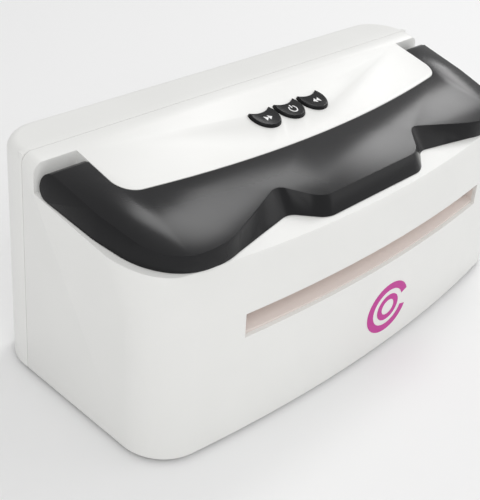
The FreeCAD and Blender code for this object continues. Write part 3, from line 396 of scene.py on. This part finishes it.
class LAMINATOR_OT_mark(bpy.types.Operator):
    """Print a plain mark of two rings on the front"""
    bl_idname = "laminator.mark"
    bl_label = "Front mark"

    def execute(self, context):
        outer = sizes().mark_radius
        open_ring = ring_part(outer * 0.72, outer, 20, 340)
        small_ring = ring_part(outer * 0.30, outer * 0.52, 0, 359.9)
        mesh = flat_solid("front_mark", [open_ring, small_ring], sizes().legend_height)
        shell = NODES["front_shell"].data
        cast = BVHTree.FromPolygons([v.co for v in shell.vertices], [p.vertices for p in shell.polygons])
        turned = Matrix.Rotation(math.pi / 2, 4, "X") @ Matrix.Diagonal((sizes().mark_stretch, 1, 1, 1))
        place = Vector((sizes().mark_across, 0, LOW.z + sizes().mark_up))
        mesh.transform(Matrix.Translation(place) @ turned)
        for vertex in mesh.vertices:
            ahead = Vector((vertex.co.x, LOW.y - 0.02, vertex.co.z))
            hit = cast.ray_cast(ahead, Vector((0, 1, 0)))[0]
            vertex.co = hit + Vector((0, vertex.co.y - sizes().legend_height * 0.5, 0))
        piece = keep("front_mark", mesh, finish("mark"), "casing")
        return {"FINISHED"}


class LAMINATOR_OT_springs(bpy.types.Operator):
    """Give copies of the nip springs a spring-steel finish in place of the frame nodes"""
    bl_idname = "laminator.springs"
    bl_label = "Nip springs"

    def execute(self, context):
        for nip in NIPS:
            node = nip + "_springs"
            mesh = NODES[node].data.copy()
            mesh.materials.clear()
            mesh.materials.append(finish("spring_steel"))
            piece = bpy.data.objects.new(node + "_finished", mesh)
            bpy.context.scene.collection.objects.link(piece)
            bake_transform(piece)
            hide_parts(node)
        return {"FINISHED"}


class LAMINATOR_OT_works(bpy.types.Operator):
    """Finish the frame nodes that keep their own shape"""
    bl_idname = "laminator.works"
    bl_label = "Inner works"

    def execute(self, context):
        slots = {part["node"]: part["material_slot"] for part in frame["record"]["subparts"]}
        for node, piece in NODES.items():
            for place in piece.material_slots:
                place.material = finish(slots[node])
        return {"FINISHED"}


class LAMINATOR_OT_recesses(bpy.types.Operator):
    """Set a cross recess in the head of every screw under the base plate"""
    bl_idname = "laminator.recesses"
    bl_label = "Screw recesses"

    def head_places(self):
        """Middles of the case screws' heads, one for each loose part of the node."""
        shape = bmesh.new()
        shape.from_mesh(NODES["case_screws"].data)
        bmesh.ops.remove_doubles(shape, verts=shape.verts, dist=2e-6)
        left = set(shape.verts)
        middles = []
        while left:
            cluster = {left.pop()}
            waiting = list(cluster)
            while waiting:
                vertex = waiting.pop()
                for edge in vertex.link_edges:
                    other = edge.other_vert(vertex)
                    if other in left:
                        left.remove(other)
                        cluster.add(other)
                        waiting.append(other)
            floor = min(v.co.z for v in cluster)
            rim = [v.co for v in cluster if v.co.z < floor + 1e-5]
            middles.append(sum((p.copy() for p in rim), Vector()) / len(rim))
        shape.free()
        return middles

    def tree(self, stamp):
        """Geometry nodes that set a copy of the stamp, at a width, on each point."""
        tree = bpy.data.node_groups.new("Cross recesses", "GeometryNodeTree")
        tree.interface.new_socket("Geometry", in_out="INPUT", socket_type="NodeSocketGeometry")
        width = tree.interface.new_socket("Width", in_out="INPUT", socket_type="NodeSocketFloat")
        tree.interface.new_socket("Geometry", in_out="OUTPUT", socket_type="NodeSocketGeometry")
        add = tree.nodes.new
        start, end = add("NodeGroupInput"), add("NodeGroupOutput")
        points, shape = add("GeometryNodeMeshToPoints"), add("GeometryNodeObjectInfo")
        shape.inputs["Object"].default_value = stamp
        copies, real = add("GeometryNodeInstanceOnPoints"), add("GeometryNodeRealizeInstances")
        paint = add("GeometryNodeSetMaterial")
        paint.inputs["Material"].default_value = finish("black_matte")
        link = tree.links.new
        link(start.outputs["Geometry"], points.inputs["Mesh"])
        link(points.outputs["Points"], copies.inputs["Points"])
        link(shape.outputs["Geometry"], copies.inputs["Instance"])
        link(start.outputs["Width"], copies.inputs["Scale"])
        link(copies.outputs["Instances"], real.inputs["Geometry"])
        link(real.outputs["Geometry"], paint.inputs["Geometry"])
        link(paint.outputs["Geometry"], end.inputs["Geometry"])
        return tree, width.identifier

    def execute(self, context):
        arm, slim = 0.5, 0.12
        half = [(slim, -arm), (slim, -slim), (arm, -slim), (arm, slim), (slim, slim), (slim, arm)]
        cross = half + [(-x, -y) for x, y in half]
        stamp = bpy.data.objects.new("recess_stamp", flat_solid("recess_stamp", [cross], 0.04))
        bpy.context.scene.collection.objects.link(stamp)
        mesh = bpy.data.meshes.new("recess_points")
        lift = Vector((0, 0, -0.00004))
        mesh.from_pydata([point + lift for point in self.head_places()], [], [])
        holder = bpy.data.objects.new("recess_points", mesh)
        bpy.context.scene.collection.objects.link(holder)
        tree, width = self.tree(stamp)
        layout = holder.modifiers.new("recesses", "NODES")
        layout.node_group = tree
        layout[width] = sizes().recess_size
        solid = made_solid(holder)
        bpy.data.objects.remove(holder)
        bpy.data.objects.remove(stamp)
        piece = keep("screw_recesses", solid, finish("black_matte"), "casing")
        return {"FINISHED"}


WORLD_LIGHT = 0.62
LAMPS = (   # name, place, side in metres, power in watts; the lobe lights mirror in the handle's lobes
    ("key_light", (-0.9, -1.0, 1.3), 1.1, 7.5),
    ("fill_light", (1.3, -0.9, 0.9), 1.2, 3.2),
    ("near_lobe_light", (0.80, 0.36, 1.15), 0.36, 2.6),
    ("far_lobe_light", (1.62, 0.36, 1.15), 0.36, 2.6),
)


class LAMINATOR_OT_stage(bpy.types.Operator):
    """Lay the floor, hang the lights and place the camera"""
    bl_idname = "laminator.stage"
    bl_label = "Stage"

    def lamp(self, name, place, target, side, power):
        """A square light that hangs at a place and faces the target."""
        light = bpy.data.lights.new(name, "AREA")
        light.shape = "SQUARE"
        light.size = side
        light.energy = power
        holder = bpy.data.objects.new(name, light)
        holder.location = place
        holder.rotation_mode = "QUATERNION"
        holder.rotation_quaternion = (target - place).to_track_quat("-Z", "Y")
        bpy.context.scene.collection.objects.link(holder)

    def floor(self):
        reach, thickness = 3.0, 0.02
        corners = [(-reach, -reach), (reach, -reach), (reach, reach), (-reach, reach)]
        mesh = flat_solid("floor", [corners], thickness)
        mesh.transform(Matrix.Translation((0, 0, LOW.z - thickness)))
        material, shader = new_material("Studio floor", colours().floor, 0.8)
        vary_roughness(material, shader, add_noise(material, 4.0), 0.75, 0.85)
        piece = bpy.data.objects.new("floor", mesh)
        mesh.materials.append(material)
        bpy.context.scene.collection.objects.link(piece)

    def camera(self):
        """Look at the foot of the casing, a little right of the middle and ahead of the back."""
        size = sizes()
        right, ahead, up = 0.0087, 0.0307, 0.0121
        target = Vector(((LOW.x + HIGH.x) / 2 + right, HIGH.y - ahead, LOW.z + up))
        back = Vector((math.sin(size.azimuth) * math.cos(size.elevation),
                       -math.cos(size.azimuth) * math.cos(size.elevation), math.sin(size.elevation)))
        camera = bpy.data.cameras.new("camera")
        camera.lens = size.lens
        camera.clip_start, camera.clip_end = 0.01, 20
        holder = bpy.data.objects.new("camera", camera)
        holder.rotation_mode = "QUATERNION"
        turn = (-back).to_track_quat("-Z", "Y").to_matrix().to_4x4() @ Matrix.Rotation(size.roll, 4, "Z")
        holder.rotation_quaternion = turn.to_quaternion()
        holder.location = target + back * size.camera_distance
        bpy.context.scene.collection.objects.link(holder)
        bpy.context.scene.camera = holder

    def execute(self, context):
        self.floor()
        middle = (LOW + HIGH) / 2
        for name, place, side, power in LAMPS:
            self.lamp(name, Vector(place), middle, side, power)
        world = bpy.data.worlds.new("studio")
        world.use_nodes = True
        world.node_tree.nodes["Background"].inputs["Color"].default_value = (1, 1, 1, 1)
        world.node_tree.nodes["Background"].inputs["Strength"].default_value = WORLD_LIGHT
        bpy.context.scene.world = world
        bpy.context.scene.view_settings.view_transform = "Standard"
        self.camera()
        return {"FINISHED"}


class LAMINATOR_PT_panel(bpy.types.Panel):
    """Sizes, colours and pieces of the laminator"""
    bl_label = "Pouch laminator"
    bl_idname = "LAMINATOR_PT_panel"
    bl_space_type = "VIEW_3D"
    bl_region_type = "UI"
    bl_category = "Laminator"

    def draw(self, context):
        for group in (sizes(), colours()):
            for name in group.bl_rna.properties.keys():
                if name not in ("rna_type", "name"):
                    self.layout.prop(group, name)
        for piece in PIECES:
            self.layout.operator(piece.bl_idname)


PIECES = (LAMINATOR_OT_works, LAMINATOR_OT_springs, LAMINATOR_OT_casing, LAMINATOR_OT_handle,
          LAMINATOR_OT_keys, LAMINATOR_OT_mark, LAMINATOR_OT_recesses, LAMINATOR_OT_stage)
CLASSES = (LaminatorColours, LaminatorSizes) + PIECES + (LAMINATOR_PT_panel,)


def register():
    for item in CLASSES:
        bpy.utils.register_class(item)
    bpy.types.Scene.laminator_colours = PointerProperty(type=LaminatorColours)
    bpy.types.Scene.laminator_sizes = PointerProperty(type=LaminatorSizes)


def unregister():
    del bpy.types.Scene.laminator_sizes
    del bpy.types.Scene.laminator_colours
    for item in reversed(CLASSES):
        bpy.utils.unregister_class(item)


def main():
    register()
    for piece in PIECES:
        group, name = piece.bl_idname.split(".")
        getattr(getattr(bpy.ops, group), name)()


if __name__ == "__main__":
    main()
